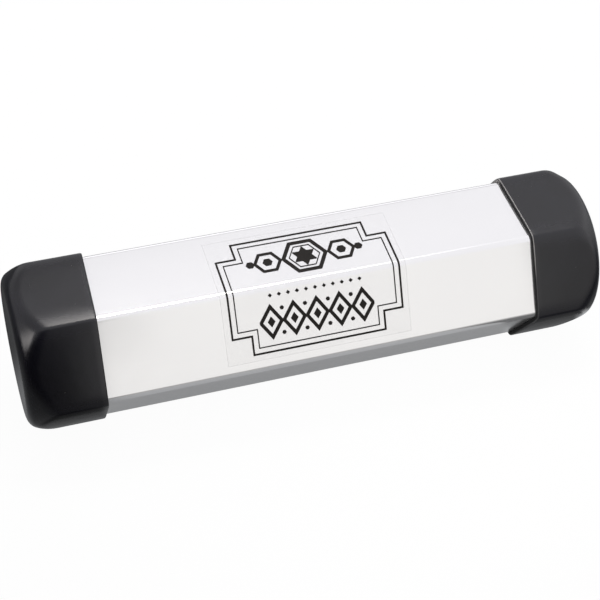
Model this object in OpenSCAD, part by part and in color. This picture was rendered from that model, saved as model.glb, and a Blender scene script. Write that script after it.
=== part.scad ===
// Hexagonal metal ganza shaker: a tube lying on one flat, with a soft cap on each end.
// X runs along the tube, Z is up, and the origin is under the middle, on the surface it lies on.

/* [Tube] */
// Distance between opposite outer faces of the tube
tube_flats = 56; // [52:0.5:76]
// Length of the tube
tube_l = 204.5; // [140:0.5:320]
// Thickness of the tube's wall
tube_wall = 1.2; // [0.8:0.1:2]
// Outer radius of the tube's six long edges
tube_corner_r = 3; // [2.2:0.1:5]

/* [End caps] */
// Length of a cap from its mouth to its end face
cap_l = 29.8; // [22:0.2:45]
// Thickness of a cap's wall
cap_wall = 1.7; // [0.8:0.1:2.4]
// Gap between the tube and the inside of a cap, on each side
cap_clear = 0.15; // [0.05:0.05:0.4]
// Angle between the tube's line and the slope that cuts the cap's corners
cap_slope_angle = 33; // [24:1:42]
// How far inside the cap's flats that slope would meet its end face
cap_slope_inset = 2.65; // [1.5:0.05:4]
// Radius of the round between the slope and the end face
cap_round_r = 5.7; // [4:0.1:8]
// Depth of the hollow in the middle of the end face
cap_dish = 0.7; // [0.2:0.1:1.5]

/* [End discs] */
// Thickness of the hard disc that closes each end of the tube
disc_t = 1.5; // [1:0.1:3]
// Gap between a disc and the tube's end
disc_gap = 0.1; // [0.05:0.05:0.3]
// Gap between a disc's corners and the slope inside the cap that they rest on
disc_seat_gap = 0.1; // [0.05:0.05:0.3]

/* [Label] */
// Length of the film along the tube
label_l = 72.6; // [30:0.2:120]
// Distance of the film's middle from the tube's middle, towards the right
label_shift = -2.6; // [-15:0.1:15]
// How far the film reaches over the top face, from the sharp ridge
label_top_reach = 27; // [12:0.5:27.5]
// How far the film reaches down the upper front face, from the sharp ridge
label_front_reach = 28; // [12:0.5:28]
// Thickness of the film
label_t = 0.12; // [0.05:0.01:0.25]
// Thickness of the glue under the film
label_glue_t = 0.03; // [0.02:0.01:0.06]

/* [Shot] */
// Diameter of one ball
shot_d = 4.5; // [3.6:0.1:7]
// Gap left round each ball
shot_gap = 0.1; // [0.05:0.05:0.2]
// Share of the chamber's length that each layer of balls fills, from the floor up
shot_fill_shares = [0.46, 0.28, 0.13]; // [0.05:0.01:0.6]
// Place of each layer in its free travel, from the left end at 0 to the right end at 1
shot_place_shares = [0.42, 0.46, 0.55]; // [0:0.01:1]

/* [Hidden] */
$fn = 96;
ball_fn = 20;
overrun = 1;
// How far each corner's round stays inside its flats, so that the two meet at a clean edge
corner_seam = 0.02;

// Half the distance between flats, for the tube, the inside of a cap and its outside
tube_half = tube_flats / 2;
bore_half = tube_half + cap_clear;
cap_half = bore_half + cap_wall;
axis_h = cap_half;

// Corner radii: each skin follows the one inside it
bore_corner_r = tube_corner_r + cap_clear;
cap_corner_r = bore_corner_r + cap_wall;
tube_inner_half = tube_half - tube_wall;
tube_inner_corner_r = tube_corner_r - tube_wall;
tube_side = tube_flats / sqrt(3);

// Distance from the axis to the top of a rounded corner
function corner_reach(half, corner_r) = (half - corner_r) / cos(30) + corner_r;

// Where the slope meets the plane of the end face, outside and inside the cap's wall
slope_foot = cap_half - cap_slope_inset;
inner_foot = slope_foot - cap_wall / cos(cap_slope_angle) + cap_wall * tan(cap_slope_angle);
inner_round_r = cap_round_r - cap_wall;

// A disc sits as deep in the cap as its corners go before they meet the inner slope
disc_half = tube_half;
disc_corner_r = tube_corner_r;
seat_depth = cap_wall
    + (corner_reach(disc_half, disc_corner_r) + disc_seat_gap - inner_foot) / tan(cap_slope_angle);
disc_x = tube_l / 2 + disc_gap;
cap_end_x = disc_x + disc_t + seat_depth;
cap_mouth_x = cap_end_x - cap_l;

// The chamber that the shot runs in
chamber_l = tube_l + 2 * disc_gap;
pitch = shot_d + shot_gap;
floor_side = 2 * tube_inner_half / sqrt(3);
floor_rows = 1 + floor((floor_side - pitch * tan(30)) / pitch);
floor_z = axis_h - tube_inner_half + pitch / 2;

function direction(angle) = [cos(angle), sin(angle)];

// A hexagon with flat top and bottom and true round corners
module rounded_hexagon(half, corner_r) {
    reach = (half - corner_r) / cos(30);
    polygon([
        for (corner = [0:60:300]) for (side = [-30, 30])
            reach * direction(corner) + corner_r * direction(corner + side)
    ]);
    for (corner = [0:60:300])
        translate(reach * direction(corner)) circle(r = corner_r - corner_seam);
}

// Turns a flat outline into a bar along X, centred on the tube's axis
module along_tube(from_x, length) {
    translate([from_x, 0, axis_h]) rotate([90, 0, 90]) linear_extrude(length) children();
}

// The bar that a slope, a round and a dished end face leave, from behind the mouth to the end
module end_form(foot, round_r, end_l, dish) {
    centre_r = foot + round_r * tan(cap_slope_angle) - round_r / cos(cap_slope_angle);
    centre_l = end_l - round_r;
    rotate([0, 90, 0]) rotate_extrude() {
        polygon([
            [0, -overrun],
            [foot + (end_l + overrun) * tan(cap_slope_angle), -overrun],
            [centre_r, centre_l] + round_r * direction(cap_slope_angle),
            [centre_r, centre_l],
            [centre_r, end_l],
            [0, end_l - dish]
        ]);
        intersection() {
            translate([centre_r, centre_l]) circle(r = round_r);
            translate([centre_r, centre_l]) square(round_r + overrun);
        }
    }
}

module cap() {
    color([0.11, 0.11, 0.12])
    difference() {
        intersection() {
            along_tube(cap_mouth_x, cap_l) rounded_hexagon(cap_half, cap_corner_r);
            translate([cap_mouth_x, 0, axis_h])
                end_form(slope_foot, cap_round_r, cap_l, cap_dish);
        }
        intersection() {
            along_tube(cap_mouth_x - overrun, cap_l + overrun)
                rounded_hexagon(bore_half, bore_corner_r);
            translate([cap_mouth_x, 0, axis_h])
                end_form(inner_foot, inner_round_r, cap_l - cap_wall, cap_dish);
        }
    }
}

module end_disc() {
    color([0.72, 0.73, 0.75])
    along_tube(disc_x, disc_t) rounded_hexagon(disc_half, disc_corner_r);
}

module tube() {
    color([0.92, 0.93, 0.94])
    difference() {
        along_tube(-tube_l / 2, tube_l) rounded_hexagon(tube_half, tube_corner_r);
        along_tube(-tube_l / 2 - overrun, tube_l + 2 * overrun)
            rounded_hexagon(tube_inner_half, tube_inner_corner_r);
    }
}

module left_cap() mirror([1, 0, 0]) cap();
module right_cap() cap();
module left_end_disc() mirror([1, 0, 0]) end_disc();
module right_end_disc() end_disc();

// A skin over the ridge, cut square to the faces at its two long edges
module label_film() {
    film_in = tube_half + label_glue_t;
    film_out = film_in + label_t;
    ridge = tube_half / cos(30) * direction(120);
    front_edge = ridge + label_front_reach * direction(240);
    top_edge = ridge + label_top_reach * direction(0);
    outward = tube_half * direction(150);
    color([0.96, 0.96, 0.95])
    along_tube(label_shift - label_l / 2, label_l) intersection() {
        difference() {
            rounded_hexagon(film_out, tube_corner_r + label_glue_t + label_t);
            rounded_hexagon(film_in, tube_corner_r + label_glue_t);
        }
        polygon([
            [0, 0],
            [top_edge.x, 0],
            [top_edge.x, tube_flats],
            [-tube_flats, tube_flats],
            front_edge + outward,
            front_edge - outward
        ]);
    }
}

// One layer of balls in straight rows that rest in the grooves of the layer below
module shot_layer(layer) {
    count = floor(chamber_l * shot_fill_shares[layer] / pitch);
    rows = floor_rows + layer;
    travel = chamber_l - count * pitch;
    first_x = -chamber_l / 2 + travel * shot_place_shares[layer] + pitch / 2;
    color([0.62, 0.63, 0.65])
    for (row = [0:rows - 1]) for (place = [0:count - 1])
        translate([
            first_x + place * pitch,
            (row - (rows - 1) / 2) * pitch,
            floor_z + layer * pitch * sin(60)
        ]) sphere(d = shot_d, $fn = ball_fn);
}

module shot_lower() shot_layer(0);
module shot_middle() shot_layer(1);
module shot_upper() shot_layer(2);

tube();
left_cap();
right_cap();
left_end_disc();
right_end_disc();
label_film();
shot_lower();
shot_middle();
shot_upper();
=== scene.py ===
import math

import bmesh
import bpy
import numpy as np
from mathutils import Matrix, Vector


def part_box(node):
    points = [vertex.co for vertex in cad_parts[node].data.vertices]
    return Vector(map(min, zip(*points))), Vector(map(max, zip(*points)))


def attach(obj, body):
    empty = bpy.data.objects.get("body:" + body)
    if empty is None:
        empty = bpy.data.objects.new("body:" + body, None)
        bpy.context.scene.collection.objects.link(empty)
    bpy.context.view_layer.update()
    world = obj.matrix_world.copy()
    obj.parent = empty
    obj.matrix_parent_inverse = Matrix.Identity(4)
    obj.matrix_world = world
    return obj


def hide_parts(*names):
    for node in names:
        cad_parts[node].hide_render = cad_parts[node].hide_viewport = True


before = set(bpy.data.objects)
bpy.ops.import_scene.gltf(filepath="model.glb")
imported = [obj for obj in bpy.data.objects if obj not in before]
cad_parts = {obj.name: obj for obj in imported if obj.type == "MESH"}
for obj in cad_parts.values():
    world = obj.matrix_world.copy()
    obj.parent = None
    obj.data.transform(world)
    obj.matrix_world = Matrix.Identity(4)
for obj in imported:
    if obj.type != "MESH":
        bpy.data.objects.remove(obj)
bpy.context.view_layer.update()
mm = 0.001
halfSector = math.radians(30)  # half of the turn from one side of a hexagon to the next
tubeLow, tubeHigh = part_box("tube")
axisHeight = (tubeLow.z + tubeHigh.z) / 2
print("frame loaded, tube axis at", round(axisHeight / mm, 2), "mm")


# node trees: a wired socket works in plain arithmetic
class Wire:
    def __init__(self, board, socket):
        self.board = board
        self.socket = socket

    def maths(self, operation, *values):
        return self.board.add("ShaderNodeMath", {"operation": operation}, dict(enumerate(values)))

    def __add__(self, other):
        return self.maths("ADD", self, other)

    def __radd__(self, other):
        return self.maths("ADD", other, self)

    def __sub__(self, other):
        return self.maths("SUBTRACT", self, other)

    def __rsub__(self, other):
        return self.maths("SUBTRACT", other, self)

    def __mul__(self, other):
        return self.maths("MULTIPLY", self, other)

    def __rmul__(self, other):
        return self.maths("MULTIPLY", other, self)

    def __truediv__(self, other):
        return self.maths("DIVIDE", self, other)

    def __rtruediv__(self, other):
        return self.maths("DIVIDE", other, self)

    def __neg__(self):
        return self.maths("MULTIPLY", self, -1.0)

    def __abs__(self):
        return self.maths("ABSOLUTE", self)

    def __lt__(self, other):
        return self.maths("LESS_THAN", self, other)

    def __gt__(self, other):
        return self.maths("GREATER_THAN", self, other)

    def atLeast(self, other):
        return self.maths("MAXIMUM", self, other)

    def atMost(self, other):
        return self.maths("MINIMUM", self, other)

    def toAndFro(self, length):
        return self.maths("PINGPONG", self, length)

    def squareRoot(self):
        return self.maths("SQRT", self)

    def towards(self, other, share):
        return self + share * (other - self)

    def ramp(self, low, high, toLow=0.0, toHigh=1.0):
        return self.board.add(
            "ShaderNodeMapRange",
            {"interpolation_type": "SMOOTHSTEP"},
            {"Value": self, "From Min": low, "From Max": high, "To Min": toLow, "To Max": toHigh},
        )


class Board:
    def __init__(self, tree):
        self.tree = tree

    def add(self, kind, settings, sockets, out=0):
        node = self.tree.nodes.new(kind)
        for name, value in settings.items():
            setattr(node, name, value)
        for key, value in sockets.items():
            if isinstance(value, Wire):
                self.tree.links.new(value.socket, node.inputs[key])
            else:
                node.inputs[key].default_value = value
        if isinstance(out, (list, tuple)):
            return [Wire(self, node.outputs[name]) for name in out]
        return Wire(self, node.outputs[out]) if len(node.outputs) else node

    def colour(self, factor, first, second):
        sockets = {0: factor, 6: first, 7: second}
        return self.add("ShaderNodeMix", {"data_type": "RGBA"}, sockets, out=2)

    def stretched(self, place, scale):
        return self.add("ShaderNodeVectorMath", {"operation": "MULTIPLY"}, {0: place, 1: scale})

    def axes(self, place):
        return self.add("ShaderNodeSeparateXYZ", {}, {"Vector": place}, out=["X", "Y", "Z"])

    def attribute(self, name):
        return self.add("ShaderNodeAttribute", {"attribute_name": name}, {}, out="Fac")

    def noise(self, place, scale, detail=2.0, roughness=0.5):
        return self.add(
            "ShaderNodeTexNoise",
            {"noise_dimensions": "3D"},
            {"Vector": place, "Scale": scale, "Detail": detail, "Roughness": roughness},
        )

    def bump(self, height, strength, distance, under=None):
        sockets = {"Height": height, "Strength": strength, "Distance": distance}
        if under is not None:
            sockets["Normal"] = under
        return self.add("ShaderNodeBump", {}, sockets)

    def glow(self, colour, strength):
        return self.add("ShaderNodeEmission", {}, {"Color": colour, "Strength": strength})

    def surface(self, shader):
        self.add("ShaderNodeOutputMaterial", {}, {"Surface": shader})


def grey(value):
    return (value, value, value, 1.0)


def newMaterial(name):
    material = bpy.data.materials.new(name)
    material.use_nodes = True
    material.node_tree.nodes.clear()
    board = Board(material.node_tree)
    place = board.add("ShaderNodeTexCoord", {}, {}, out="Object")
    return material, board, place


def finishMaterial(material, board, sockets):
    board.surface(board.add("ShaderNodeBsdfPrincipled", {}, sockets))
    return material


# finishes: a scale is in cells a metre, and a depth is the height of the relief
tubeFinish = {
    "paleMetal": (0.895, 0.895, 0.9, 1.0),
    "dullMetal": (0.87, 0.87, 0.88, 1.0),
    "metallic": 0.86,
    "roughness": 0.13,
    "lineScale": (9.0, 2300.0, 2300.0),
    "lineRough": 0.03,
    "lineDepth": 0.0006 * mm,
    "cloudScale": 22.0,
    "cloudRough": 0.04,
    "handlingScale": 60.0,
    "handlingRough": 0.03,
}


def makeTubeMetal():
    p = tubeFinish
    material, board, place = newMaterial("drawnAluminium")
    # drawing lines run along the tube, fine across it
    lines = board.noise(board.stretched(place, p["lineScale"]), 1.0, 3.0, 0.6)
    clouds = board.noise(place, p["cloudScale"], 3.0)
    handling = board.noise(place, p["handlingScale"], 4.0, 0.62).ramp(0.52, 0.72)
    rough = p["roughness"] + (lines - 0.5) * p["lineRough"] + (clouds - 0.5) * p["cloudRough"]
    rough = rough + handling * p["handlingRough"]
    tone = board.colour((lines * 0.5 + clouds * 0.5).ramp(0.3, 0.7), p["dullMetal"], p["paleMetal"])
    relief = board.bump(lines, 0.25, p["lineDepth"])
    sockets = {"Base Color": tone, "Metallic": p["metallic"], "Roughness": rough, "Normal": relief}
    return finishMaterial(material, board, sockets)


capFinish = {
    "black": (0.0038, 0.0038, 0.0062, 1.0),
    "bloom": (0.0085, 0.0085, 0.0145, 1.0),
    "bloomScale": 35.0,
    "bloomRough": 0.08,
    "roughness": 0.25,
    "rubbedRough": 0.04,
    "dust": (0.1, 0.097, 0.09, 1.0),
    "dustScale": 420.0,
    "dustSize": 0.085,
    "dustRarity": 0.9,
    "dustCover": 0.3,
    "dustRough": 0.3,
    # the pale colour of highlights painted on the lip and on the cut mouth
    "paintedGlint": (0.35, 0.34, 0.33, 1.0),
    "waveScale": 130.0,
    "waveDepth": 0.12 * mm,
    "grainScale": 2600.0,
    "grainDepth": 0.01 * mm,
    "ior": 1.54,
}


def makeCapVinyl():
    p = capFinish
    material, board, place = newMaterial("blackVinyl")
    rub, paintedGlintMask = board.attribute("rub"), board.attribute("paintedGlint")
    bloom = board.noise(place, p["bloomScale"], 4.0, 0.6)
    grain = board.noise(place, p["grainScale"], 2.0)
    waves = board.noise(place, p["waveScale"], 1.0)
    fromSpeck, speckColour = board.add(
        "ShaderNodeTexVoronoi",
        {"feature": "F1"},
        {"Vector": place, "Scale": p["dustScale"]},
        out=["Distance", "Color"],
    )
    pick = board.add("ShaderNodeSeparateColor", {}, {"Color": speckColour})
    dust = (fromSpeck < p["dustSize"]) * (pick > p["dustRarity"])
    tone = board.colour(bloom.ramp(0.35, 0.75) * 0.6 + rub * 0.3, p["black"], p["bloom"])
    tone = board.colour(dust * p["dustCover"], tone, p["dust"])
    # a painted highlight: a pale line along the lip's outer edge
    tone = board.colour(paintedGlintMask * (0.75 + bloom * 0.3), tone, p["paintedGlint"])
    rough = p["roughness"] + (bloom - 0.5) * p["bloomRough"]
    rough = rough + rub * p["rubbedRough"] + dust * p["dustRough"]
    relief = board.bump(waves, 0.35, p["waveDepth"])
    relief = board.bump(grain, 0.05, p["grainDepth"], relief)
    sockets = {"Base Color": tone, "Roughness": rough, "Normal": relief, "IOR": p["ior"]}
    return finishMaterial(material, board, sockets)


# the trimmed mouth of a cap is dull and darker than its skin;
# on the right one a highlight is painted pale round its upper back corner
cutFinish = {
    "darkCut": grey(0.003),
    "paleCut": grey(0.008),
    "roughness": 0.5,
    "scrapeScale": (400.0, 2400.0, 2400.0),
    "scrapeDepth": 0.03 * mm,
    "glintSpotY": (0.0135, 0.0155),
    "glintSpotZ": (0.045, 0.052),
    "ior": 1.3,
}


def makeCutVinyl():
    p = cutFinish
    material, board, place = newMaterial("cutVinyl")
    scrape = board.noise(board.stretched(place, p["scrapeScale"]), 1.0, 3.0, 0.6)
    tone = board.colour(scrape.ramp(0.4, 0.7), p["darkCut"], p["paleCut"])
    x, y, z = board.axes(place)
    # a painted highlight where the right cap's cut face catches the light
    glintSpot = (x > 0.0) * y.ramp(*p["glintSpotY"]) * z.ramp(*p["glintSpotZ"])
    tone = board.colour(glintSpot * (0.6 + scrape * 0.6), tone, capFinish["paintedGlint"])
    rough = p["roughness"] + scrape * 0.2
    relief = board.bump(scrape, 0.3, p["scrapeDepth"])
    sockets = {"Base Color": tone, "Roughness": rough, "Normal": relief, "IOR": p["ior"]}
    return finishMaterial(material, board, sockets)


discFinish = {
    "dullMetal": grey(0.6),
    "paleMetal": (0.74, 0.745, 0.76, 1.0),
    "roughness": 0.34,
    "ringPitch": 0.4 * mm,
    "ringDepth": 0.01 * mm,
    "stainScale": 90.0,
    "stainDepth": 0.05 * mm,
}


def makeDiscMetal():
    p = discFinish
    material, board, place = newMaterial("stampedDisc")
    y, z = board.axes(place)[1:]
    up = z - axisHeight
    fromAxis = (y * y + up * up).squareRoot()
    turn = 2 * math.pi / p["ringPitch"]
    rings = board.add("ShaderNodeMath", {"operation": "SINE"}, {0: fromAxis * turn})
    stain = board.noise(place, p["stainScale"], 4.0, 0.6)
    tone = board.colour(stain.ramp(0.35, 0.7), p["dullMetal"], p["paleMetal"])
    rough = p["roughness"] + stain * 0.12 + rings * 0.03
    relief = board.bump(rings, 0.2, p["ringDepth"])
    relief = board.bump(stain, 0.2, p["stainDepth"], relief)
    sockets = {"Base Color": tone, "Metallic": 1.0, "Roughness": rough, "Normal": relief}
    return finishMaterial(material, board, sockets)


shotFinish = {
    "darkBall": (0.5, 0.505, 0.52, 1.0),
    "paleBall": (0.7, 0.705, 0.715, 1.0),
    "roughness": 0.12,
    "scuffScale": 1500.0,
    "scuffRough": 0.2,
    "scuffDepth": 0.02 * mm,
}


def makeShotSteel():
    p = shotFinish
    material, board, place = newMaterial("polishedShot")
    perBall = board.attribute("ballTone")
    scuffs = board.noise(place, p["scuffScale"], 4.0, 0.65)
    tone = board.colour(perBall, p["darkBall"], p["paleBall"])
    rough = p["roughness"] + scuffs.ramp(0.45, 0.75) * p["scuffRough"] + perBall * 0.06
    relief = board.bump(scuffs, 0.15, p["scuffDepth"])
    sockets = {"Base Color": tone, "Metallic": 1.0, "Roughness": rough, "Normal": relief}
    return finishMaterial(material, board, sockets)


tubeMetal = makeTubeMetal()
capVinyl = makeCapVinyl()
cutVinyl = makeCutVinyl()
discMetal = makeDiscMetal()
shotSteel = makeShotSteel()
print("finishes made")


# geometry helpers
def meshObject(name, vertices, faces, materials):
    mesh = bpy.data.meshes.new(name)
    mesh.from_pydata([tuple(v) for v in vertices], [], [tuple(f) for f in faces])
    for material in materials:
        mesh.materials.append(material)
    thing = bpy.data.objects.new(name, mesh)
    bpy.context.scene.collection.objects.link(thing)
    return thing


def tidyNormals(thing, weld=True):
    # turns every face outwards; welding also closes the seams and poles of a smooth piece
    work = bmesh.new()
    work.from_mesh(thing.data)
    if weld:
        bmesh.ops.remove_doubles(work, verts=work.verts, dist=0.0001 * mm)
        for face in work.faces:
            face.smooth = True
    bmesh.ops.recalc_face_normals(work, faces=work.faces)
    if work.calc_volume(signed=True) < 0:
        bmesh.ops.reverse_faces(work, faces=work.faces)
    work.to_mesh(thing.data)
    work.free()
    thing.data.update()


def groupInputs(tree, sizes):
    sockets = {}
    for name, value in sizes.items():
        kind = "NodeSocketInt" if isinstance(value, int) else "NodeSocketFloat"
        socket = tree.interface.new_socket(name=name, in_out="INPUT", socket_type=kind)
        sockets[name] = socket.identifier
    tree.interface.new_socket(name="Geometry", in_out="OUTPUT", socket_type="NodeSocketGeometry")
    return sockets


def bakeTree(name, tree, sizes, identifiers):
    # runs the tree once on an empty mesh and keeps the plain result
    seed = bpy.data.objects.new(name + "Seed", bpy.data.meshes.new(name + "Seed"))
    bpy.context.scene.collection.objects.link(seed)
    modifier = seed.modifiers.new("shape", "NODES")
    modifier.node_group = tree
    for key, value in sizes.items():
        modifier[identifiers[key]] = value
    bpy.context.view_layer.update()
    graph = bpy.context.evaluated_depsgraph_get()
    result = seed.evaluated_get(graph)
    mesh = bpy.data.meshes.new_from_object(result, preserve_all_data_layers=True, depsgraph=graph)
    mesh.name = name
    seed.modifiers.clear()
    bpy.data.objects.remove(seed)
    made = bpy.data.objects.new(name, mesh)
    bpy.context.scene.collection.objects.link(made)
    return made


# the hexagonal tube, swept round its own outline
tubeSizes = {
    "Flats": tubeHigh.z - tubeLow.z,
    "Length": tubeHigh.x - tubeLow.x,
    "Wall": 1.2 * mm,
    "Corner Radius": 3.0 * mm,
    "Lip Round": 0.35 * mm,
    "Axis Height": axisHeight,
    "Corner Steps": 16,
    "Lip Steps": 3,
}


def makeTube():
    tree = bpy.data.node_groups.new("hexTubeSweep", "GeometryNodeTree")
    identifiers = groupInputs(tree, tubeSizes)
    board = Board(tree)
    size = dict(zip(tubeSizes, board.add("NodeGroupInput", {}, {}, out=list(tubeSizes))))
    middle = size["Flats"] / 2 - size["Wall"] / 2
    corner = board.add(
        "GeometryNodeCurvePrimitiveCircle",
        {"mode": "RADIUS"},
        {"Resolution": 6, "Radius": middle / math.cos(halfSector)},
    )
    path = board.add(
        "GeometryNodeFilletCurve",
        {"mode": "POLY"},
        {
            "Curve": corner,
            "Radius": size["Corner Radius"] - size["Wall"] / 2,
            "Count": size["Corner Steps"],
        },
    )
    path = board.add("GeometryNodeSetCurveNormal", {"mode": "Z_UP"}, {"Curve": path})
    wall = board.add(
        "GeometryNodeCurvePrimitiveQuadrilateral",
        {"mode": "RECTANGLE"},
        {"Width": size["Wall"], "Height": size["Length"]},
    )
    wall = board.add(
        "GeometryNodeFilletCurve",
        {"mode": "POLY"},
        {"Curve": wall, "Radius": size["Lip Round"], "Count": size["Lip Steps"]},
    )
    swept = board.add("GeometryNodeCurveToMesh", {}, {"Curve": path, "Profile Curve": wall})
    turned = board.add(
        "GeometryNodeTransform",
        {},
        {"Geometry": swept, "Rotation": (math.pi / 2, 0.0, math.pi / 2)},
    )
    lift = board.add("ShaderNodeCombineXYZ", {}, {"Z": size["Axis Height"]})
    lifted = board.add("GeometryNodeTransform", {}, {"Geometry": turned, "Translation": lift})
    plain = board.add("GeometryNodeRealizeInstances", {}, {"Geometry": lifted})
    coated = board.add("GeometryNodeSetMaterial", {}, {"Geometry": plain, "Material": tubeMetal})
    board.add("NodeGroupOutput", {}, {"Geometry": coated})
    tube = bakeTree("hexTube", tree, tubeSizes, identifiers)
    tidyNormals(tube)
    # flats keep their own normals, so only the corners look round
    flatten = tube.modifiers.new("flatFaces", "WEIGHTED_NORMAL")
    flatten.mode = "FACE_AREA"
    flatten.weight = 100
    return tube


hexTube = makeTube()
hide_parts("tube")
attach(hexTube, "tube_body")
print("tube made,", len(hexTube.data.polygons), "faces")


# the soft end caps: a hexagonal sleeve closed by a round, dished end
capLow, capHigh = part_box("right_cap")
capHalf = (capHigh.z - capLow.z) / 2
capShape = {
    "wall": 1.7 * mm,
    "cornerRadius": 2.2 * mm,
    "boreCornerRadius": 3.15 * mm,
    "slopeAngle": 33.0,
    "slopeInset": 2.65 * mm,
    "slopeSwell": 0.12 * mm,
    "swellFrom": 3.5 * mm,
    "swellLength": 9.5 * mm,
    "endSwell": 0.42 * mm,
    "endRound": 5.7 * mm,
    "dish": 0.7 * mm,
    "bulgeAt": 60.0,
    "bulgeSpread": 28.0,
    "shoulderTilt": 9.5,
    "shoulderReach": 8.5 * mm,
    "creaseBlend": 1.6 * mm,
    "lipRound": 0.6 * mm,
    "innerLipRound": 0.15 * mm,
    "mouthDepth": 12 * mm,
    "endDepth": 14 * mm,
    "outlineSteps": (80, 39, 29),  # along the flat, the shoulder and the corner
    "flatSteps": 30,
    "cornerSteps": 14,
    "lipSteps": 6,
    "outerSleeveSteps": 8,
    "innerSleeveSteps": 5,
    "fanDepth": 16 * mm,
    "slopeFan": (2, 62, 1.25),  # from, to and step, in degrees
    "faceFan": (62, 88, 3.0),
    "rayLength": 60 * mm,
    "halvings": 44,
}
# where handling rubs a cap, and where a highlight is painted along its lip; distances from the axis
# are shares of capHalf
capWear = {
    "cornerFrom": 1.05,
    "cornerSpan": 0.07,
    "rimBack": 1.5 * mm,
    "rimSpread": 3 * mm,
    "rimFrom": 0.7,
    "lipDepth": 0.8 * mm,
    "glintRow": 4,
    "glintRows": 2,
    "glintSlope": 4,
    "glintFrom": 1.8,
    "glintLeast": 0.12,
}
# how each soft cap sits and is pulled out of true, how many rows of its lip are cut, and how strong
# a highlight is painted along its lip
capFit = {
    "leftEndCap": {
        "mouthShift": -0.65 * mm,
        "mouthSkew": -0.03,
        "endShift": 0.05 * mm,
        "endSkewY": 0.012,
        "endSkewZ": -0.008,
        "backBulge": 0.8 * mm,
        "cutRows": 4,
        "paintedGlint": 0.0,
    },
    "rightEndCap": {
        "mouthShift": 0.0,
        "mouthSkew": -0.028,
        "endShift": 0.0,
        "endSkewY": 0.0,
        "endSkewZ": 0.0,
        "backBulge": 0.5 * mm,
        "cutRows": 2,
        "paintedGlint": 1.0,
    },
}
capSlope = math.radians(capShape["slopeAngle"])


def fromFlat(y, z):
    # how far a point is turned from the middle of its nearest flat, 0 to halfSector
    angle = np.degrees(np.arctan2(z, y)) - 30.0
    return np.abs(np.radians(angle - 60.0 * np.round(angle / 60.0)))


def hexDistance(y, z, half, corner):
    local, away = fromFlat(y, z), np.hypot(y, z)
    out, along = away * np.cos(local), away * np.sin(local)
    roundFrom = half - corner
    flatEnd = roundFrom * math.tan(halfSector)
    rounded = np.hypot(out - roundFrom, along - flatEnd) - corner
    return np.where((along > flatEnd) & (out > roundFrom), rounded, out - half)


def capOutline():
    # one twelfth of the outline: a flat, a shoulder that leans over more and more,
    # then the corner's round
    flats, shoulders, corners = capShape["outlineSteps"]
    lean = math.radians(capShape["shoulderTilt"])
    shoulderTilt = lean * np.linspace(0, 1, shoulders + 1) ** 2
    tilt = np.concatenate([shoulderTilt, np.linspace(lean, halfSector, corners + 1)[1:]])
    shoulderStep = np.full(shoulders, capShape["shoulderReach"] / shoulders)
    cornerStep = np.full(corners, capShape["cornerRadius"] * (halfSector - lean) / corners)
    step = np.concatenate([shoulderStep, cornerStep])
    middle = (tilt[1:] + tilt[:-1]) / 2
    out = capHalf - np.concatenate([[0], np.cumsum(np.sin(middle) * step)])
    along = np.concatenate([[0], np.cumsum(np.cos(middle) * step)])
    along += out[-1] * math.tan(halfSector) - along[-1]
    flat = np.linspace(0, along[0], flats, endpoint=False)
    out = np.concatenate([np.full(flats, capHalf), out])
    along = np.concatenate([flat, along])
    tilt = np.concatenate([np.zeros(flats), tilt])
    return np.arctan2(along, out), np.hypot(along, out), tilt


outlineAngles, outlineAway, outlineTilt = capOutline()


def sleeveDistance(y, z):
    local = fromFlat(y, z)
    edge = np.interp(local, outlineAngles, outlineAway)
    tilt = np.interp(local, outlineAngles, outlineTilt)
    return (np.hypot(y, z) - edge) * np.cos(local - tilt)


def endDistance(x, away, foot, radius, endX, swell=0.0):
    # a slope that swells a little, a round and a dished face, turned about the axis
    cosine, sine = math.cos(capSlope), math.sin(capSlope)
    centreAway = foot + radius * math.tan(capSlope) - radius / cosine
    beyond, behind = away - foot, endX - x
    downSlope = beyond * sine + behind * cosine - capShape["swellFrom"]
    share = np.clip(downSlope / capShape["swellLength"], 0, 1)
    slope = beyond * cosine - behind * sine - swell * 4 * share * (1 - share)
    hollow = capShape["dish"] * (1 - np.clip(away / centreAway, 0, 1) ** 2)
    face = x - (endX - hollow)
    dx, dr = x - (endX - radius), away - centreAway
    onRound = (dr > 0) & (dx * cosine > dr * sine)
    return np.where(onRound, np.hypot(dx, dr) - radius, np.maximum(slope, face))


def softMax(a, b, blend):
    share = np.clip(0.5 + 0.5 * (a - b) / blend, 0, 1)
    return b + (a - b) * share + blend * share * (1 - share)


def outerDistance(x, y, z, bulge):
    # the bulge fills out the end towards its upper back corner
    c = capShape
    fromBack = (np.degrees(np.arctan2(z, y)) - c["bulgeAt"]) / c["bulgeSpread"]
    foot = capHalf - c["slopeInset"] + c["endSwell"] + bulge * np.exp(-fromBack * fromBack)
    end = endDistance(x, np.hypot(y, z), foot, c["endRound"], capHigh.x, c["slopeSwell"])
    return softMax(sleeveDistance(y, z), end, c["creaseBlend"])


def innerDistance(x, y, z):
    c, wall = capShape, capShape["wall"]
    foot = capHalf - c["slopeInset"] - wall / math.cos(capSlope) + wall * math.tan(capSlope)
    sleeve = hexDistance(y, z, capHalf - wall, c["boreCornerRadius"])
    end = endDistance(x, np.hypot(y, z), foot, c["endRound"] - wall, capHigh.x - wall)
    return np.maximum(sleeve, end)


def aroundAngles():
    # close together at the corners, wider on the flats
    reach = (capHalf - capShape["cornerRadius"]) * math.tan(halfSector)
    bend = math.degrees(math.atan2(reach, capHalf))
    flats = np.linspace(-math.pi / 2, math.pi / 2, capShape["flatSteps"], endpoint=False)
    corners = np.linspace(bend, 60 - bend, capShape["cornerSteps"], endpoint=False)
    sector = np.concatenate([bend * np.sin(flats), corners])
    return np.radians(np.concatenate([30 + 60 * k + sector for k in range(6)]))


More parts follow.
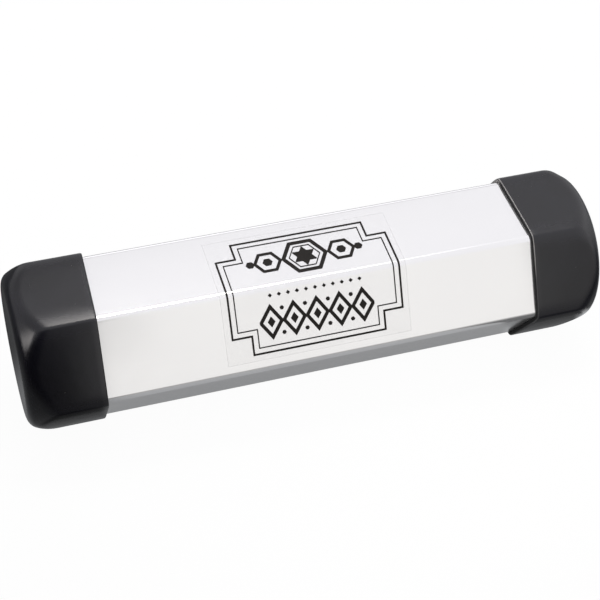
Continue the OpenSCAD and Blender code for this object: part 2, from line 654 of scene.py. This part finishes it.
def capRows(lipRound, lipWay, fanAngles, sleeveSteps):
    # each row is (start on the axis, direction along X, direction outwards, level):
    # the lip's round, the sleeve, then a fan of rays that closes the end
    mouthX, fanX = capLow.x, capHigh.x - capShape["fanDepth"]
    rows = []
    for turn in np.linspace(0, math.pi / 2, capShape["lipSteps"]):
        level = lipWay * lipRound * (1 - math.sin(turn))
        rows.append((mouthX + lipRound * (1 - math.cos(turn)), 0.0, 1.0, level))
    for x in np.linspace(mouthX + lipRound, fanX, sleeveSteps)[1:]:
        rows.append((x, 0.0, 1.0, 0.0))
    for angle in fanAngles:
        rows.append((fanX, math.sin(angle), math.cos(angle), 0.0))
    return rows


def skinRows(distance, rows, around):
    # a ray is cut where distance = level
    startX, alongX, outward, level = (np.array(column)[:, None] for column in zip(*rows))
    cosines, sines = np.cos(around)[None, :], np.sin(around)[None, :]

    def pointAt(reach):
        return startX + reach * alongX, reach * outward * cosines, reach * outward * sines

    near = np.zeros((len(rows), len(around)))
    far = np.full_like(near, capShape["rayLength"])
    for _ in range(capShape["halvings"]):
        reach = (near + far) / 2
        inside = distance(*pointAt(reach)) < level
        near, far = np.where(inside, reach, near), np.where(inside, far, reach)
    x, y, z = pointAt((near + far) / 2)
    return np.stack([x, y, axisHeight + z], axis=2)


def storeValues(thing, name, values):
    attribute = thing.data.attributes.new(name, "FLOAT", "POINT")
    attribute.data.foreach_set("value", values.astype(np.float32))


def makeCap(name, side):
    c, w, fit = capShape, capWear, capFit[name]
    around = aroundAngles()

    def skin(x, y, z):
        return outerDistance(x, y, z, fit["backBulge"])

    fan = np.radians(np.concatenate([np.arange(*c["slopeFan"]), np.arange(*c["faceFan"])]))
    outerRows = capRows(c["lipRound"], -1, fan, c["outerSleeveSteps"])
    # the lip's inner round opens outwards, so its rows widen towards the mouth
    innerRows = capRows(c["innerLipRound"], 1, fan[::2], c["innerSleeveSteps"])
    outer = skinRows(skin, outerRows, around)
    inner = skinRows(innerDistance, innerRows, around)
    rings = np.concatenate([outer[::-1], inner])
    count, steps = rings.shape[:2]
    lipRow = len(outer) - 1
    faces, cut = [], []
    for row in range(count - 1):
        isCut = lipRow - fit["cutRows"] < row < lipRow + c["lipSteps"]
        here, there = row * steps, (row + 1) * steps
        for step in range(steps):
            after = (step + 1) % steps
            faces.append((here + step, here + after, there + after, there + step))
            cut.append(int(isCut))
    outerPole = (capHigh.x - c["dish"], 0, axisHeight)
    innerPole = (capHigh.x - c["wall"] - c["dish"], 0, axisHeight)
    vertices = np.vstack([rings.reshape(-1, 3), outerPole, innerPole])
    for pole, row in ((count * steps, 0), (count * steps + 1, count - 1)):
        for step in range(steps):
            faces.append((pole, row * steps + step, row * steps + (step + 1) % steps))
            cut.append(0)
    # the soft cap sits a little askew
    x, y, z = vertices[:, 0], vertices[:, 1], vertices[:, 2] - axisHeight
    nearMouth = np.clip(1 - (x - capLow.x) / c["mouthDepth"], 0, 1) ** 1.5
    nearEnd = np.clip(1 - (capHigh.x - x) / c["endDepth"], 0, 1)
    x = x + nearMouth * (fit["mouthShift"] + fit["mouthSkew"] * y)
    x = x + nearEnd * (fit["endShift"] + fit["endSkewY"] * y + fit["endSkewZ"] * z)
    vertices[:, 0] = x * side
    cap = meshObject(name, vertices, faces, [capVinyl, cutVinyl])
    cap.data.polygons.foreach_set("material_index", cut)
    # rubbing wears the corners, the end's rim and the lip
    away = np.hypot(y, z)
    cornerWear = np.clip((away - capHalf * w["cornerFrom"]) / (capHalf * w["cornerSpan"]), 0, 1)
    rimWear = np.clip(1 - np.abs(x - (capHigh.x - w["rimBack"])) / w["rimSpread"], 0, 1)
    rimWear = rimWear * (away > capHalf * w["rimFrom"])
    lipWear = np.clip(1 - (x - capLow.x) / w["lipDepth"], 0, 1)
    storeValues(cap, "rub", np.maximum(np.maximum(cornerWear, rimWear), lipWear))
    # a painted highlight: a pale line along the lip's outer edge, strongest on top
    paintedGlint = np.zeros(len(vertices))
    first = lipRow - w["glintRow"]
    line = slice(first * steps, (first + w["glintRows"]) * steps)
    onTop = np.clip(z[line] / capHalf * w["glintSlope"] - w["glintFrom"], w["glintLeast"], 1)
    paintedGlint[line] = fit["paintedGlint"] * onTop
    storeValues(cap, "paintedGlint", paintedGlint)
    tidyNormals(cap)
    return cap


for capName, side, node, body in (
    ("leftEndCap", -1, "left_cap", "left_cap_body"),
    ("rightEndCap", 1, "right_cap", "right_cap_body"),
):
    cap = makeCap(capName, side)
    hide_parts(node)
    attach(cap, body)
    print(capName, "made,", len(cap.data.polygons), "faces")


# the clear label film, printed with a plain ornament; lengths are in millimetres
filmLow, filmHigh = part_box("label_film")
labelFilm = {
    "topReach": 27.0,
    "frontReach": 28.0,
    "thickness": 0.12,
    "glue": 0.03,
    "cornerRadius": 3.0,
    "uvUnit": 125.0,
    "flatSteps": 12,
    "roundSteps": 14,
    "columns": 25,
}
labelPrint = {
    "left": -36.0,
    "right": 31.0,
    "front": -25.3,
    "top": 24.0,
    "notch": 7.5,
    "boldLine": 0.72,
    "fineLine": 0.42,
    "lineGap": 2.3,
    "rosetteAt": 12.3,
    "rosetteRadius": 7.2,
    "rosetteLine": 1.5,
    "ringRadius": 5.2,
    "ringLine": 0.4,
    "starRadius": 2.5,
    "sideAt": 14.5,
    "sideRadius": 4.3,
    "sideLine": 1.2,
    "sideHeart": 1.7,
    "dotAt": 21.3,
    "dotRadius": 1.5,
    "diamondsAt": -3.2,
    "diamondHalfPitch": 1.75,
    "diamondRadius": 0.8,
    "diamondsReach": 19.3,
    "lozengesAt": -13.6,
    "lozengeHalfPitch": 4.5,
    "lozengeShape": (0.83, 0.56),
    "lozengeRadius": 3.35,
    "lozengeLine": 1.35,
    "lozengeHeart": 1.25,
    "lozengesReach": 22.5,
    "bayDotAt": 4.9,
    "bayDotRadius": 0.75,
    "bayDotsReach": 20.0,
    "edgeWidth": 0.2,
    "ink": (0.0075, 0.0055, 0.004, 1.0),
    "film": (0.9, 0.9, 0.89, 1.0),
    "edge": grey(0.62),
    "filmAlpha": 0.02,
    "edgeAlpha": 0.14,
    "roughness": 0.16,
    "wearScale": 900.0,
    "wearFrom": 0.74,
    "wearShare": 0.25,
    "waveScale": 160.0,
    "waveDepth": 0.05,
    "ior": 1.28,
}
filmBack = {
    "dull": grey(0.86),
    "pale": grey(0.94),
    "hazeScale": 300.0,
    "roughness": 0.3,
    "alpha": 0.006,
    "hazeAlpha": 0.012,
}


def makeLabelPrint():
    # x runs along the tube and s round it, from the ridge up over the top face
    p, unit = labelPrint, labelFilm["uvUnit"]
    material, board, place = newMaterial("printedFilm")
    uv = board.add("ShaderNodeUVMap", {"uv_map": "label"}, {})
    x, s = board.axes(uv)[:2]
    x, s = x * unit - unit / 2, s * unit - unit / 4

    def line(distance, width):
        return abs(distance) < width / 2

    def fromSides(left, right, front, top):
        pastX = abs(x - (left + right) / 2) - (right - left) / 2
        return pastX, abs(s - (front + top) / 2) - (top - front) / 2

    def hexagon(u, v, radius):
        u, v = abs(u), abs(v)
        return (u * math.cos(halfSector) + v * math.sin(halfSector)).atLeast(v) - radius

    def triangle(u, v, radius):
        return (abs(u) * math.cos(halfSector) + v * math.sin(halfSector)).atLeast(-v) - radius

    # frame: two lines with notched corners
    fromX, fromS = fromSides(p["left"], p["right"], p["front"], p["top"])
    inCorner = (fromX + p["notch"]).atMost(fromS + p["notch"])
    border = fromX.atLeast(fromS).atLeast(inCorner)
    ink = line(border, p["boldLine"]).atLeast(line(border + p["lineGap"], p["fineLine"]))
    # top face: a six-pointed star in a hexagon, with smaller hexagons at its sides
    middle = x - (p["left"] + p["right"]) / 2
    fromMiddle = abs(middle)
    v = s - p["rosetteAt"]
    star = triangle(middle, v, p["starRadius"]).atMost(triangle(middle, -v, p["starRadius"])) < 0
    rosette = line(hexagon(middle, v, p["rosetteRadius"]), p["rosetteLine"]).atLeast(star)
    ring = line(hexagon(middle, v, p["ringRadius"]), p["ringLine"])
    ink = ink.atLeast(rosette.atLeast(ring))
    side = fromMiddle - p["sideAt"]
    ink = ink.atLeast(line(hexagon(side, v, p["sideRadius"]), p["sideLine"]))
    ink = ink.atLeast(hexagon(side, v, p["sideHeart"]) < 0)
    ink = ink.atLeast(hexagon(fromMiddle - p["dotAt"], v, p["dotRadius"]) < 0)
    # along the ridge: a row of small diamonds
    pitch = p["diamondHalfPitch"]
    diamond = middle.toAndFro(pitch) + abs(s - p["diamondsAt"])
    row = (diamond < p["diamondRadius"]) * (fromMiddle < p["diamondsReach"])
    ink = ink.atLeast(row)
    # front face: bold lozenges with solid hearts, and dots in the bays between them
    pitch = p["lozengeHalfPitch"]
    u, v = middle.toAndFro(pitch), abs(s - p["lozengesAt"])
    lozenge = u * p["lozengeShape"][0] + v * p["lozengeShape"][1]
    band = line(lozenge - p["lozengeRadius"], p["lozengeLine"])
    band = band.atLeast(lozenge < p["lozengeHeart"])
    dots = hexagon(pitch - u, v - p["bayDotAt"], p["bayDotRadius"]) < 0
    band = band.atLeast(dots * (fromMiddle < p["bayDotsReach"]))
    ink = ink.atLeast(band * (fromMiddle < p["lozengesReach"]))
    # clear film elsewhere, hazier at its cut edge
    fromX, fromS = fromSides(
        filmLow.x / mm, filmHigh.x / mm, -labelFilm["frontReach"], labelFilm["topReach"]
    )
    edge = fromX.atLeast(fromS) > -p["edgeWidth"]
    wear = board.noise(place, p["wearScale"], 3.0, 0.6)
    density = ink * (1.0 - (wear > p["wearFrom"]) * p["wearShare"])
    tone = board.colour(density, p["film"], p["ink"])
    tone = board.colour(edge * 0.8, tone, p["edge"])
    alpha = density.atLeast(edge * p["edgeAlpha"]).atLeast(p["filmAlpha"])
    rough = p["roughness"] + wear * 0.1 + ink * 0.12
    relief = board.bump(board.noise(place, p["waveScale"], 2.0), 0.12, p["waveDepth"] * mm)
    sockets = {"Base Color": tone, "Roughness": rough, "Alpha": alpha, "Normal": relief}
    sockets["IOR"] = p["ior"]
    return finishMaterial(material, board, sockets)


def makeFilmBack():
    p = filmBack
    material, board, place = newMaterial("filmBack")
    haze = board.noise(place, p["hazeScale"], 3.0)
    tone = board.colour(haze, p["dull"], p["pale"])
    rough, alpha = p["roughness"] + haze * 0.2, p["alpha"] + haze * p["hazeAlpha"]
    sockets = {"Base Color": tone, "Roughness": rough, "Alpha": alpha}
    return finishMaterial(material, board, sockets)


def direction(degrees):
    # square to the tube, and turned from +Y towards +Z
    return np.array([math.cos(math.radians(degrees)), math.sin(math.radians(degrees))])


def makeLabel():
    f = labelFilm
    flats = (tubeHigh.z - tubeLow.z) / 2 / mm
    corner = f["cornerRadius"]
    ridge = flats / math.cos(halfSector) * direction(120)
    centre = (flats - corner) / math.cos(halfSector) * direction(120)
    tangent = corner * math.tan(halfSector)
    stations = []  # (distance from the ridge, foot point on the tube, outward direction)
    for d in np.linspace(f["frontReach"], tangent, f["flatSteps"]):
        stations.append((-d, ridge + d * direction(240), direction(150)))
    for share in np.linspace(0, 1, f["roundSteps"])[1:-1]:
        way = direction(150 - 60 * share)
        stations.append((tangent * (2 * share - 1), centre + corner * way, way))
    for d in np.linspace(tangent, f["topReach"], f["flatSteps"]):
        stations.append((d, ridge + d * direction(0), direction(90)))
    columns = np.linspace(filmLow.x / mm, filmHigh.x / mm, f["columns"])
    vertices, coords = [], []
    for lift in (f["glue"] + f["thickness"], f["glue"]):
        for distance, foot, way in stations:
            y, z = foot + lift * way
            for x in columns:
                vertices.append((x * mm, y * mm, z * mm + axisHeight))
                coords.append((0.5 + x / f["uvUnit"], 0.25 + distance / f["uvUnit"]))
    rows, wide = len(stations), len(columns)
    layer = rows * wide
    faces, kinds = [], []  # kind 0 is the printed face, and 1 the back and the cut edge
    for row in range(rows - 1):
        for column in range(wide - 1):
            a = row * wide + column
            b = layer + a
            faces += [(a, a + 1, a + wide + 1, a + wide), (b, b + wide, b + wide + 1, b + 1)]
            kinds += [0, 1]
    grid = np.arange(layer).reshape(rows, wide)
    sides = [grid[0], grid[1:, -1], grid[-1, -2::-1], grid[-2:0:-1, 0]]
    rim = np.concatenate(sides).tolist()
    for here, there in zip(rim, rim[1:] + rim[:1]):
        faces.append((here, layer + here, layer + there, there))
        kinds.append(1)
    film = meshObject("labelFilm", vertices, faces, [makeLabelPrint(), makeFilmBack()])
    layout = film.data.uv_layers.new(name="label")
    for loop in film.data.loops:
        layout.data[loop.index].uv = coords[loop.vertex_index]
    for polygon, kind in zip(film.data.polygons, kinds):
        polygon.material_index = kind
        polygon.use_smooth = kind == 0
    tidyNormals(film, weld=False)
    return film


film = makeLabel()
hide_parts("label_film")
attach(film, "tube_body")
print("label film made")


# the shot: straight rows of balls, each turned its own way
shotSizes = {
    "ballDiameter": 4.5 * mm,
    "pitch": 4.6 * mm,
    "ballDetail": 2,
    "mostTurn": (6.28, 6.28, 6.28),
}


def makeShotTree():
    # only the kinds of these numbers count: each layer sets its own
    defaults = {
        "Count": 20,
        "Rows": 7,
        "Pitch": 1.0,
        "Ball Diameter": 1.0,
        "Ball Detail": 2,
        "First X": 0.0,
        "First Y": 0.0,
        "Height": 0.0,
        "Seed": 3,
    }
    tree = bpy.data.node_groups.new("shotRows", "GeometryNodeTree")
    identifiers = groupInputs(tree, defaults)
    board = Board(tree)
    size = dict(zip(defaults, board.add("NodeGroupInput", {}, {}, out=list(defaults))))
    lengthX = (size["Count"] - 1) * size["Pitch"]
    lengthY = (size["Rows"] - 1) * size["Pitch"]
    grid = board.add(
        "GeometryNodeMeshGrid",
        {},
        {
            "Size X": lengthX,
            "Size Y": lengthY,
            "Vertices X": size["Count"],
            "Vertices Y": size["Rows"],
        },
    )
    corner = board.add(
        "ShaderNodeCombineXYZ",
        {},
        {
            "X": size["First X"] + lengthX / 2,
            "Y": size["First Y"] + lengthY / 2,
            "Z": size["Height"],
        },
    )
    placed = board.add("GeometryNodeTransform", {}, {"Geometry": grid, "Translation": corner})
    ball = board.add(
        "GeometryNodeMeshIcoSphere",
        {},
        {"Radius": size["Ball Diameter"] / 2, "Subdivisions": size["Ball Detail"]},
    )
    ball = board.add("GeometryNodeSetShadeSmooth", {}, {"Geometry": ball, "Shade Smooth": True})
    turn = board.add(
        "FunctionNodeRandomValue",
        {"data_type": "FLOAT_VECTOR"},
        {0: (0.0, 0.0, 0.0), 1: shotSizes["mostTurn"], "Seed": size["Seed"]},
        out=0,
    )
    tone = board.add(
        "FunctionNodeRandomValue",
        {"data_type": "FLOAT"},
        {2: 0.0, 3: 1.0, "Seed": size["Seed"]},
        out=1,
    )
    kept = board.add(
        "GeometryNodeStoreNamedAttribute",
        {"data_type": "FLOAT", "domain": "POINT"},
        {"Geometry": placed, "Name": "ballTone", "Value": tone},
    )
    spread = board.add(
        "GeometryNodeInstanceOnPoints",
        {},
        {"Points": kept, "Instance": ball, "Rotation": turn},
    )
    plain = board.add("GeometryNodeRealizeInstances", {}, {"Geometry": spread})
    coated = board.add("GeometryNodeSetMaterial", {}, {"Geometry": plain, "Material": shotSteel})
    board.add("NodeGroupOutput", {}, {"Geometry": coated})
    return tree, identifiers


shotTree, shotInputs = makeShotTree()
for shotName, node, body, seed in (
    ("shotLower", "shot_lower", "lower_shot_body", 3),
    ("shotMiddle", "shot_middle", "middle_shot_body", 5),
    ("shotUpper", "shot_upper", "upper_shot_body", 8),
):
    low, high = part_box(node)
    ballWidth = high.z - low.z
    sizes = {
        "Count": round((high.x - low.x - ballWidth) / shotSizes["pitch"]) + 1,
        "Rows": round((high.y - low.y - ballWidth) / shotSizes["pitch"]) + 1,
        "Pitch": shotSizes["pitch"],
        "Ball Diameter": shotSizes["ballDiameter"],
        "Ball Detail": shotSizes["ballDetail"],
        "First X": low.x + ballWidth / 2,
        "First Y": low.y + ballWidth / 2,
        "Height": (low.z + high.z) / 2,
        "Seed": seed,
    }
    shot = bakeTree(shotName, shotTree, sizes, shotInputs)
    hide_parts(node)
    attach(shot, body)
    print(shotName, "made,", len(shot.data.polygons), "faces")

for node in ("left_end_disc", "right_end_disc"):
    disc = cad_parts[node]
    disc.data.materials.clear()
    disc.data.materials.append(discMetal)
print("end discs finished")


# the studio: a floor, white to the camera and with painted shade in what reflections see of it,
# under a pale sky, a softbox overhead, a light at the left and a low reflector card along the front
def stagePiece(name, vertices, faces, material):
    piece = meshObject(name, vertices, faces, [material])
    return piece


# what reflections see of the floor is painted: a painted shadow of the object, painted darkness
# towards the left and a painted glint past the right cap
# a name that ends in Ramp holds two places and the values before and after them, and every
# other pair holds two places; they are in metres, but for the sky in parts of a direction
floorLook = {
    "reach": 4.0,
    "bounce": 0.35,
    "tint": (0.965, 0.98, 1.0, 1.0),
    "shadowShare": 0.036,
    "grainScale": 3.0,
    "grainShare": 0.01,
    "frontRamp": (-0.1, -0.065, 0.2, 0.42),  # away from the object, at the front
    "nearRamp": (-0.126, -0.115, 0.15, 0.295),  # close to the tube
    "nearFrom": (-0.032, -0.0225),
    "capFrom": (0.081, 0.086),
    "capRamp": (-0.116, -0.108, 0.8, 0.25),  # share of the front left by the caps
    "nearCapFrom": (-0.0223, -0.0165),
    "nearCapShare": 0.38 / 0.295,
    "backRamp": (-0.11, -0.03, 0.11, 0.5),  # behind the object
    "backFrom": (0.0, 0.03),
    "besideXFrom": (0.112, 0.119),
    "besideYFrom": (-0.0225, -0.0205),
    "glintXFrom": (0.1185, 0.1205),
    "glintYFrom": (-0.03, -0.0255),
    "besideRamp": (0.124, 0.13, 1.0, 0.16),
    "farRightRamp": (0.124, 0.134, 1.0, 0.8),
}


def makeFloor():
    f = floorLook
    material, board, place = newMaterial("studioFloor")
    kinds = ["Is Camera Ray", "Is Glossy Ray", "Is Transmission Ray"]
    straight, glossy, through = board.add("ShaderNodeLightPath", {}, {}, out=kinds)
    x, y = board.axes(place)[:2]
    # painted shade: what metal and gloss see of it is painted darker where the object's shadow
    # falls and towards the left
    tone, near = x.ramp(*f["frontRamp"]), x.ramp(*f["nearRamp"])
    tubeTone = tone.towards(near, y.ramp(*f["nearFrom"]))
    underCap = tone * x.ramp(*f["capRamp"])
    capTone = underCap.towards(near * f["nearCapShare"], y.ramp(*f["nearCapFrom"]))
    tone = tubeTone.towards(capTone, abs(x).ramp(*f["capFrom"]))
    tone = tone.towards(x.ramp(*f["backRamp"]), y.ramp(*f["backFrom"]))
    # past the right cap the floor is painted out of the object's shade, with a painted glint by the
    # cap's lower corner, and further out it falls away
    beside = x.ramp(*f["besideXFrom"]) * y.ramp(*f["besideYFrom"])
    beside = beside.atLeast(x.ramp(*f["glintXFrom"]) * y.ramp(*f["glintYFrom"]))
    beside = beside * x.ramp(*f["besideRamp"])
    tone = (tone * x.ramp(*f["farRightRamp"])).atLeast(beside)
    mirrored = board.colour(tone, grey(0.0), f["tint"])
    glow = board.glow(board.colour(straight, mirrored, grey(1.0)), 1.0)
    grain = board.noise(place, f["grainScale"], 2.0) * f["grainShare"]
    plain = board.colour(straight, grey(f["bounce"]), grey(1.0))
    matt = board.add("ShaderNodeBsdfDiffuse", {}, {"Color": plain, "Roughness": grain})
    share = straight.atLeast(glossy).atLeast(through) - straight * f["shadowShare"]
    board.surface(board.add("ShaderNodeMixShader", {}, {0: share, 1: matt, 2: glow}))
    ways = ((-1, -1), (1, -1), (1, 1), (-1, 1))
    corners = [(i * f["reach"], j * f["reach"], 0) for i, j in ways]
    stagePiece("floor", corners, [(0, 1, 2, 3)], material)


skyLook = {
    "tint": (1.0, 0.99, 1.014, 1.0),
    "glow": 0.995,
    "bandDip": 0.32,
    "bandFrom": (0.66, 0.72),
    "horizonGlow": 0.3,
    "horizonFrom": (0.8, 0.9),
    "leftHigh": 0.64,
    "leftLow": 0.14,
    "leftRise": (0.05, 0.32),
    "leftFrom": (0.12, 0.45),
    "farLeftRamp": (-0.08, -0.045, 1.0, 0.68),
}


def makeSky():
    s = skyLook
    world = bpy.data.worlds.new("studio")
    bpy.context.scene.world = world
    world.use_nodes = True
    world.node_tree.nodes.clear()
    board = Board(world.node_tree)
    straight = board.add("ShaderNodeLightPath", {}, {}, out="Is Camera Ray")
    x, y, z = board.axes(board.add("ShaderNodeTexCoord", {}, {}, out="Generated"))
    # the sky behind the object has a darker band, and is lightest down by the horizon
    glow = s["glow"] - y.ramp(*s["bandFrom"]) * s["bandDip"]
    glow = glow + y.ramp(*s["horizonFrom"]) * (s["horizonGlow"] + s["bandDip"])
    glow = glow * (-x).ramp(*s["farLeftRamp"])
    leftGlow = z.ramp(*s["leftRise"], s["leftLow"], s["leftHigh"])
    glow = glow.towards(leftGlow, (-x).ramp(*s["leftFrom"]))
    tone = board.colour(straight, s["tint"], grey(1.0))
    sockets = {"Color": tone, "Strength": glow.towards(1.0, straight)}
    light = board.add("ShaderNodeBackground", {}, sockets)
    board.add("ShaderNodeOutputWorld", {}, {"Surface": light})


def lightPanel(name, corners, colour, shareAt, lowAt, high):
    # shareAt gives the share of full brightness at a place on the cloth,
    # and lowAt the glow where there is none
    material, board, place = newMaterial(name + "Cloth")
    axes = board.axes(place)
    share, low = shareAt(*axes), lowAt(*axes)
    tone = board.colour(share, skyLook["tint"], colour)
    board.surface(board.glow(tone, low + share * (high - low)))
    panel = stagePiece(name, corners, [(0, 1, 2, 3)], material)
    panel.visible_camera = False


softbox = {
    "colour": (1.0, 0.955, 0.915, 1.0),
    "glow": 16.0,
    "left": -0.1,
    "right": 0.6,
    "front": 0.22,
    "back": 1.05,
    "height": 1.1,
    "slantFrom": -0.15,
    "fadeRamp": (0.52, 1.0, 1.0, 0.0),
    "brightFrom": (-0.07, 0.03),
    "rightRamp": (0.2, 0.34, 1.0, 0.1),
    "dimRamp": (-0.06, 0.02, 0.62, 1.0),
}


def makeSoftbox():
    s = softbox

    def fading(x, y, z):
        # the cloth is brightest along its front edge and over the object's left half
        deep = (y + (x - s["slantFrom"]).atLeast(0.0)).ramp(*s["fadeRamp"])
        return deep * x.ramp(*s["brightFrom"]) * x.ramp(*s["rightRamp"])

    def aboveLeft(x, y, z):
        return x.ramp(*s["dimRamp"]) * skyLook["glow"]

    sides = (("left", "front"), ("left", "back"), ("right", "back"), ("right", "front"))
    corners = [(s[x], s[y], s["height"]) for x, y in sides]
    lightPanel("softbox", corners, s["colour"], fading, aboveLeft, s["glow"])


sideLight = {
    "colour": (1.0, 0.95, 0.92, 1.0),
    "glow": 6.5,
    "middle": (-0.87, -0.16, 0.39),
    "wide": 0.44,
    "tall": 0.4,
    "core": 0.02,
}


def makeSideLight():
    s = sideLight
    middle = Vector(s["middle"])
    facing = (Vector((0, 0, axisHeight)) - middle).normalized()
    across = facing.cross(Vector((0, 0, 1))).normalized() * s["wide"] / 2
    upright = across.cross(facing).normalized() * s["tall"] / 2
    ways = ((-1, -1), (1, -1), (1, 1), (-1, 1))
    corners = [middle + across * i + upright * j for i, j in ways]

    def glowing(x, y, z):
        dx, dy, dz = x - middle.x, y - middle.y, z - middle.z
        away = (dx * dx + dy * dy + dz * dz).squareRoot()
        return away.ramp(s["core"], s["tall"] / 2, 1.0, 0.0)

    def around(x, y, z):
        return skyLook["leftHigh"]

    lightPanel("sideLight", corners, s["colour"], glowing, around, s["glow"])


card = {
    "path": [
        (-0.31, 0.02, 0.1), (-0.3, -0.03, 0.1), (-0.27, -0.08, 0.11), (-0.22, -0.12, 0.16),
        (-0.16, -0.138, 0.2), (-0.1, -0.14, 0.2), (-0.05, -0.14, 0.2), (0.0, -0.14, 0.105),
        (0.1, -0.14, 0.105), (0.34, -0.14, 0.105),
    ],
    "foot": 1 * mm,
    "colour": (1.0, 0.985, 0.965, 1.0),
    "shelfRamp": (-0.0872, -0.0815, 0.01, 0.68),
    "lean": 0.125,
    "leanAt": 0.045,
    "brightFrom": (-0.0797, -0.0747),
    "brightMore": 1.01 - 0.68,
    "dimAbove": (0.055, 0.072),
    "dimRamp": (-0.065, -0.04, 0.11, 0.0),
    "greyRamp": (0.128, 0.145, 1.01, 0.69),
    "lowRamp": (-0.09, -0.06, 0.08, 0.42),
    "lowEdge": (0.032, 0.041),
}


def makeCard():
    c = card
    material, board, place = newMaterial("reflectorCard")
    x, z = board.axes(place)[::2]
    bright = (x - (z - c["leanAt"]) * c["lean"]).ramp(*c["brightFrom"])
    upper = x.ramp(*c["shelfRamp"]) + bright * c["brightMore"]
    upper = upper - z.ramp(*c["dimAbove"]) * x.ramp(*c["dimRamp"]) * bright
    upper = upper.atMost(x.ramp(*c["greyRamp"]))
    strength = x.ramp(*c["lowRamp"]).towards(upper, z.ramp(*c["lowEdge"]))
    board.surface(board.glow(c["colour"], strength))
    low = [(*point[:2], c["foot"]) for point in c["path"]]
    count = len(low)
    faces = [(i, i + 1, count + i + 1, count + i) for i in range(count - 1)]
    strip = stagePiece("frontCard", low + c["path"], faces, material)
    strip.visible_camera = False


makeFloor()
makeSoftbox()
makeSideLight()
makeCard()
makeSky()
print("studio lit")


# the camera, at the photograph's angle
cameraView = {
    "azimuth": -19.58,
    "elevation": 48.035,
    "roll": 3.927,
    "place": Vector((-0.1329, -0.3688, axisHeight + 0.4337)),
    "lens": 89.18,
    "sensor": 36,
    "clipStart": 10 * mm,
}


def makeCamera():
    a, e, r = (math.radians(cameraView[k]) for k in ("azimuth", "elevation", "roll"))
    back = Vector((math.sin(a) * math.cos(e), -math.cos(a) * math.cos(e), math.sin(e)))
    level = Vector((math.cos(a), math.sin(a), 0))
    upright = back.cross(level)
    right = math.cos(r) * level + math.sin(r) * upright
    up = -math.sin(r) * level + math.cos(r) * upright
    data = bpy.data.cameras.new("camera")
    data.lens = cameraView["lens"]
    data.sensor_width = cameraView["sensor"]
    data.clip_start = cameraView["clipStart"]
    camera = bpy.data.objects.new("camera", data)
    bpy.context.scene.collection.objects.link(camera)
    turned = Matrix((right, up, back)).transposed().to_4x4()
    camera.matrix_world = Matrix.Translation(cameraView["place"]) @ turned
    bpy.context.scene.camera = camera


makeCamera()
bpy.context.scene.view_settings.view_transform = "Standard"
print("camera placed")
